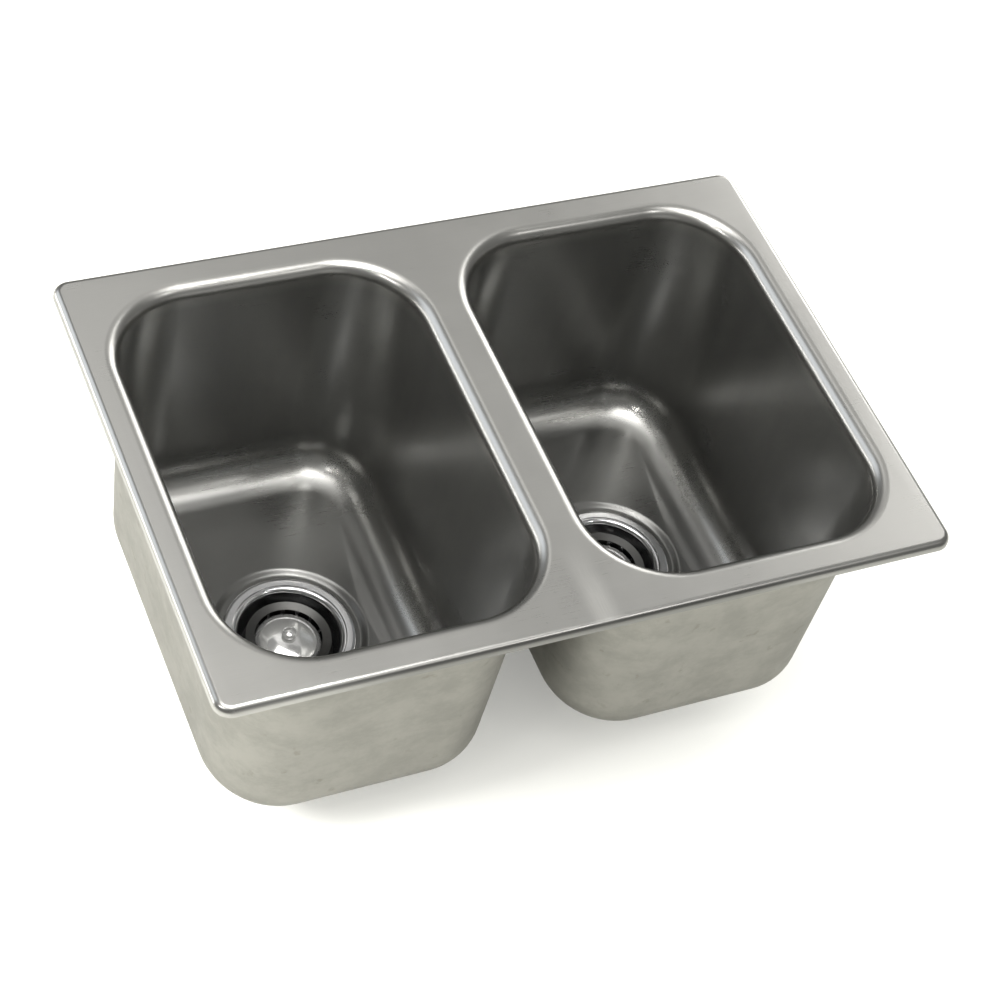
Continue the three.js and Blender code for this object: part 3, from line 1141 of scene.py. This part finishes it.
@dataclass
class StrainerBasket:
    """The basket that lifts out: slotted cup, raised dome, knob, post, stopper and nut."""

    rim: float = 36 * MM
    mouth: float = 34.2 * MM
    base: float = 30.5 * MM
    base_bend: float = 2.2 * MM
    lip: float = 1.2 * MM
    sheet: float = 1 * MM
    top: float = -3 * MM
    floor: float = -23.8 * MM
    gap: float = 0.2 * MM
    slot_height: float = 9 * MM
    slots: int = 16
    slot_facets: int = 8
    cut_facets: tuple[int, int] = (3, 4)
    dome: float = 29 * MM
    shoulder: float = 9 * MM
    rise: float = 11 * MM
    knob: float = 6.5 * MM
    knob_height: float = 7 * MM
    neck: float = 4.4 * MM
    neck_height: float = 1.2 * MM
    post: float = 3 * MM
    post_foot: float = -34.5 * MM
    post_tip: float = 1.5 * MM
    post_thread: float = -27.2 * MM
    pitch: float = 1 * MM
    thread_depth: float = 0.35 * MM
    nut: float = 5.5 * MM
    nut_low: float = -29.4 * MM
    nut_top: float = -27.0 * MM
    body: str = "{hand}_basket"

    def __post_init__(self) -> None:
        """Works out the post's hole and the heights of the dome."""
        self.hole = self.post + self.gap
        self.dome_foot = self.floor + self.sheet + self.gap
        self.dome_top = self.dome_foot + self.shoulder + self.rise

    def build(self) -> None:
        """Builds the pieces of the basket. The stopper is one of the flat rings."""
        self._cup()
        self._dome()
        self._knob()
        self._post()
        self._nut()

    def _wall(self, height: float) -> float:
        """Outer radius of the cup's leaning wall at a height."""
        share = (height - self.floor) / (self.top - self.sheet - self.floor)
        return self.base + (self.mouth + self.sheet - self.base) * share

    def _cup(self) -> None:
        """Spins the skin of the cup, cuts the slots and gives it the sheet's thickness."""
        low = (self.floor + self.top - self.slot_height) / 2
        high = low + self.slot_height
        bend, lip, under_rim = self.base_bend, self.lip, self.top - self.sheet
        skin = [
            (self.hole, self.floor),
            (self.base - bend, self.floor),
            *arc((self.base - bend, self.floor + bend), (bend, bend), 285, 350, 4),
            *[(self._wall(height), height) for height in (low, (low + high) / 2, high)],
            *arc((self._wall(self.top) + lip, under_rim - lip), (lip, lip), 170, 95, 4),
            (self.rim, under_rim),
        ]
        steps = self.slot_facets * self.slots
        work = Workpiece("basket_cup")
        work.spin_outline(skin, steps, closed=False)

        def in_slot(face: Any) -> bool:
            """Whether a face is cut away for a slot."""
            middle = face.calc_center_median()
            facet = math.floor(math.atan2(middle.y, middle.x) / (2 * math.pi) * steps) % self.slot_facets
            return facet in self.cut_facets and low < middle.z < high

        work.pick("faces", in_slot)
        bpy.ops.mesh.delete(type="FACE")
        work.turn(lambda face: abs(face.normal.z) > 0.95, up=False)
        work.thicken(self.sheet)
        Fitting("basket_cup", SHADED_BASKET_STEEL, "plated_steel", self.body).place(work)

    def _dome(self) -> None:
        """Spins the shell of the dome with its upright shoulder."""
        inner, spring = self.dome - self.sheet, (self.hole, self.dome_foot + self.shoulder)
        outline = [
            (inner, self.dome_foot),
            (self.dome, self.dome_foot),
            *arc(spring, (self.dome - self.hole, self.rise), 0, 90, 20),
            *arc(spring, (inner - self.hole, self.rise - self.sheet), 90, 0, 20),
        ]
        Fitting("basket_dome", DOME_STEEL, "polished_steel", self.body).spin(outline, 96)

    def _knob(self) -> None:
        """Spins the knob with its neck and socket."""
        foot, half = self.dome_top + self.gap, self.knob_height / 2
        outline = [
            (0, foot + half),
            (self.hole, foot + half),
            (self.hole, foot),
            (self.neck, foot),
            (self.neck, foot + self.neck_height),
            *arc((0, foot + half), (self.knob, half), -32, 90, 16),
        ]
        Fitting("basket_knob", DOME_STEEL, "polished_steel", self.body).spin(outline, 64)

    def _post(self) -> None:
        """Spins the post with its tapered tip and the thread for its nut."""
        low, high = self.post_foot, self.dome_top + self.knob_height / 2
        thread = ridges(self.post, self.post_thread, low + self.post_tip, self.pitch, self.thread_depth)
        outline = [(0, low), (self.post / 2, low), *reversed(thread), (self.post, high), (0, high)]
        Fitting("basket_post", PLATED_STEEL, "plated_steel", self.body).spin(outline, 48)

    def _nut(self) -> None:
        """Spins the nut under the stopper with six sides."""
        low, top = self.nut_low, self.nut_top
        outline = [(self.hole, low), (self.nut, low), (self.nut, top), (self.hole, top)]
        Fitting("post_nut", PLATED_STEEL, "plated_steel", self.body, 20.0).spin(outline, 6)


def flat_rings() -> list[FlatRing]:
    """The seals, gaskets and washers of one drain and the stopper of its basket."""
    barrel, rubber = 45.5 * MM, "black_rubber"
    gasket_top = -1.2 * MM
    gasket_low = gasket_top - 3 * MM
    washer_low = gasket_low - 0.8 * MM
    gasket = FlatRing("floor_gasket", barrel, 56 * MM, gasket_low, gasket_top, BLACK_RUBBER, rubber)
    gasket.rounding = 0.8 * MM
    stopper = FlatRing("stopper_seal", 3.2 * MM, 27 * MM, -26.8 * MM, -24 * MM, BLACK_RUBBER, rubber)
    stopper.body, stopper.rounding = "{hand}_basket", 1 * MM
    return [
        FlatRing("flange_seal", barrel, 56.8 * MM, 0, 0.8 * MM, BLACK_RUBBER, rubber),
        gasket,
        FlatRing("friction_washer", barrel, 56 * MM, washer_low, gasket_low, PRESSED_FIBRE, "fibre"),
        FlatRing("slip_washer", 19.2 * MM, 23.2 * MM, -42 * MM, -40 * MM, BLACK_RUBBER, rubber),
        stopper,
    ]


def nuts() -> list[LuggedNut]:
    """The locknut under the floor and the coupling nut on the outlet."""
    locknut = LuggedNut("locknut", 45.5 * MM, 52 * MM, -14 * MM, 9 * MM, 6, 5 * MM, 12 * MM)
    coupling_nut = LuggedNut("coupling_nut", 23.4 * MM, 28.5 * MM, -44 * MM, 13 * MM, 8, 3 * MM, 7 * MM)
    coupling_nut.lip_bore, coupling_nut.lip = 19.2 * MM, 2 * MM
    return [locknut, coupling_nut]


# ---------- studio ----------


@dataclass(frozen=True)
class Lamp:
    """A soft rectangular lamp that faces the sink, with the brightness of its face as its glow."""

    name: str
    place: Triple
    size: Point
    glow: float
    tint: Colour = (1.0, 0.99, 0.97)
    mirrored_in_steel: bool = True
    lights_dull_faces: bool = True
    target: Triple = (0.0, 0.0, 0.2)

    def hang(self) -> None:
        """Hangs the lamp and turns it to its target."""
        lamp = bpy.data.lights.new(self.name, "AREA")
        lamp.shape = "RECTANGLE"
        lamp.size, lamp.size_y = self.size
        lamp.color = self.tint
        lamp.energy = self.glow * math.pi * self.size[0] * self.size[1]
        holder = bpy.data.objects.new(self.name, lamp)
        holder.location = self.place
        view = Vector(self.target) - Vector(self.place)
        holder.rotation_euler = view.to_track_quat("-Z", "Y").to_euler()
        holder.visible_glossy = self.mirrored_in_steel
        holder.visible_diffuse = self.lights_dull_faces
        bpy.context.scene.collection.objects.link(holder)


LAMPS = (
    Lamp("back_softbox", (0.95, 1.45, 2.1), (2.2, 1.6), 0.30),
    Lamp("right_corner_fill", (1.72, 0.87, 2.0), (0.56, 0.6), 1.3),
    Lamp("left_corner_fill", (0.1, 1.3, 2.3), (0.5, 1.3), 0.5),
    Lamp("right_strip", (1.9, 1.5, 1.05), (1.0, 1.4), 2.4),
    Lamp("left_strip", (-1.5, 1.45, 1.5), (1.5, 1.4), 1.1, tint=(0.88, 0.93, 1.0)),
    Lamp("low_left_strip", (-2.0, 1.3, 0.40), (1.6, 0.4), 4.6),
    Lamp("low_front_panel", (0.2, -2.8, 0.8), (1.6, 1.4), 0.22),
    Lamp("overhead", (-0.25, -0.2, 2.7), (1.8, 1.6), 3.3),
    Lamp("near_spot", (-0.14, -0.12, 0.95), (0.06, 0.06), 50.0, lights_dull_faces=False),
    Lamp("left_spot", (-1.52, -0.42, 1.5), (0.12, 0.12), 60.0, lights_dull_faces=False),
    Lamp("front_spot", (0.85, -1.30, 2.0), (0.16, 0.16), 25.0),
    Lamp("side_lamp", (-1.5, -0.9, 2.0), (0.13, 0.13), 45.0),
    Lamp("floor_lamp", (-1.0, -0.15, 0.9), (0.4, 0.4), 38.0, mirrored_in_steel=False),
)


@dataclass
class Studio:
    """Camera, floor, room and lamps."""

    picture_pixels: float = 1000.0
    focal_pixels: float = 2455.5
    sensor: float = 36.0
    heading: float = -0.60718
    tilt: float = 0.70008
    roll: float = 0.27990
    distance: float = 1.93583
    aside: float = -0.00245
    below: float = -0.06988
    floor_size: float = 14.0
    floor_colour: Colour = (0.83, 0.83, 0.80)
    floor_in_steel: Colour = (0.44, 0.44, 0.42)
    floor_glow: float = 0.15
    room_colour: Colour = (1.0, 1.0, 0.97)
    room_light: float = 1.25
    room_in_steel: float = 0.16

    def build(self) -> None:
        """Sets up the view, the floor, the room, the lamps and the colour handling."""
        scene = bpy.context.scene
        scene.view_settings.view_transform = "Standard"
        self._camera(scene)
        self._floor()
        self._room(scene)
        for lamp in LAMPS:
            lamp.hang()

    def _camera(self, scene: bpy.types.Scene) -> None:
        """Places the camera at the photograph's view."""
        camera = bpy.data.objects.new("camera", bpy.data.cameras.new("camera"))
        scene.collection.objects.link(camera)
        camera.data.sensor_width = self.sensor
        camera.data.lens = self.focal_pixels * self.sensor / self.picture_pixels
        turn = Matrix.Rotation(self.heading, 3, "Z") @ Matrix.Rotation(self.tilt, 3, "X")
        turn = turn @ Matrix.Rotation(self.roll, 3, "Z")
        place = Vector((0, 0, FLANGE_TOP)) + turn @ Vector((self.aside, self.below, self.distance))
        camera.matrix_world = Matrix.Translation(place) @ turn.to_4x4()
        scene.camera = camera

    def _floor(self) -> None:
        """Lays a pale floor that stays white but keeps the shadow."""
        bpy.ops.object.select_all(action="DESELECT")
        bpy.ops.mesh.primitive_plane_add(size=self.floor_size, location=(0, 0, 0))
        floor = bpy.context.object
        floor.name = "studio_floor"
        shader = Shader("pale_floor")
        rays = shader.node("ShaderNodeLightPath")
        seen, through, in_steel = (
            Value(shader, rays.outputs[f"Is {kind} Ray"]) for kind in ("Camera", "Transmission", "Glossy")
        )
        colour = shader.blend(in_steel, self.floor_colour, self.floor_in_steel)
        paint = shader.node("ShaderNodeBsdfDiffuse", inputs={"Color": colour})
        dark = shader.node("ShaderNodeEmission", inputs={"Strength": 0.0}).outputs[0]
        glow = shader.node("ShaderNodeEmission", inputs={"Strength": self.floor_glow}).outputs[0]
        white = shader.node("ShaderNodeMixShader", inputs={0: seen.at_least(through), 1: dark, 2: glow})
        both = shader.node("ShaderNodeAddShader", inputs={0: paint.outputs[0], 1: white.outputs[0]})
        shader.node("ShaderNodeOutputMaterial", inputs={"Surface": both.outputs[0]})
        floor.data.materials.append(shader.material)

    def _room(self, scene: bpy.types.Scene) -> None:
        """Puts the sink in an even room that steel mirrors dimly."""
        room = bpy.data.worlds.new("room")
        room.use_nodes = True
        tree = room.node_tree
        background = tree.nodes["Background"]
        background.inputs["Color"].default_value = (*self.room_colour, 1.0)
        rays = tree.nodes.new("ShaderNodeLightPath")
        level = tree.nodes.new("ShaderNodeMapRange")
        level.inputs["To Min"].default_value = self.room_light
        level.inputs["To Max"].default_value = self.room_in_steel
        tree.links.new(rays.outputs["Is Glossy Ray"], level.inputs["Value"])
        tree.links.new(level.outputs["Result"], background.inputs["Strength"])
        scene.world = room


def main() -> None:
    """Builds the dressed sink and its studio."""
    logging.basicConfig(level=logging.INFO, format="%(name)s: %(message)s")
    Studio().build()
    for hand in Hand:
        PressedHalf(hand).build()
    CentreWeld().build()
    StrainerBody().build()
    for fitting in (*flat_rings(), *nuts(), Crossbar()):
        fitting.build()
    StrainerBasket().build()


if __name__ == "__main__":
    main()
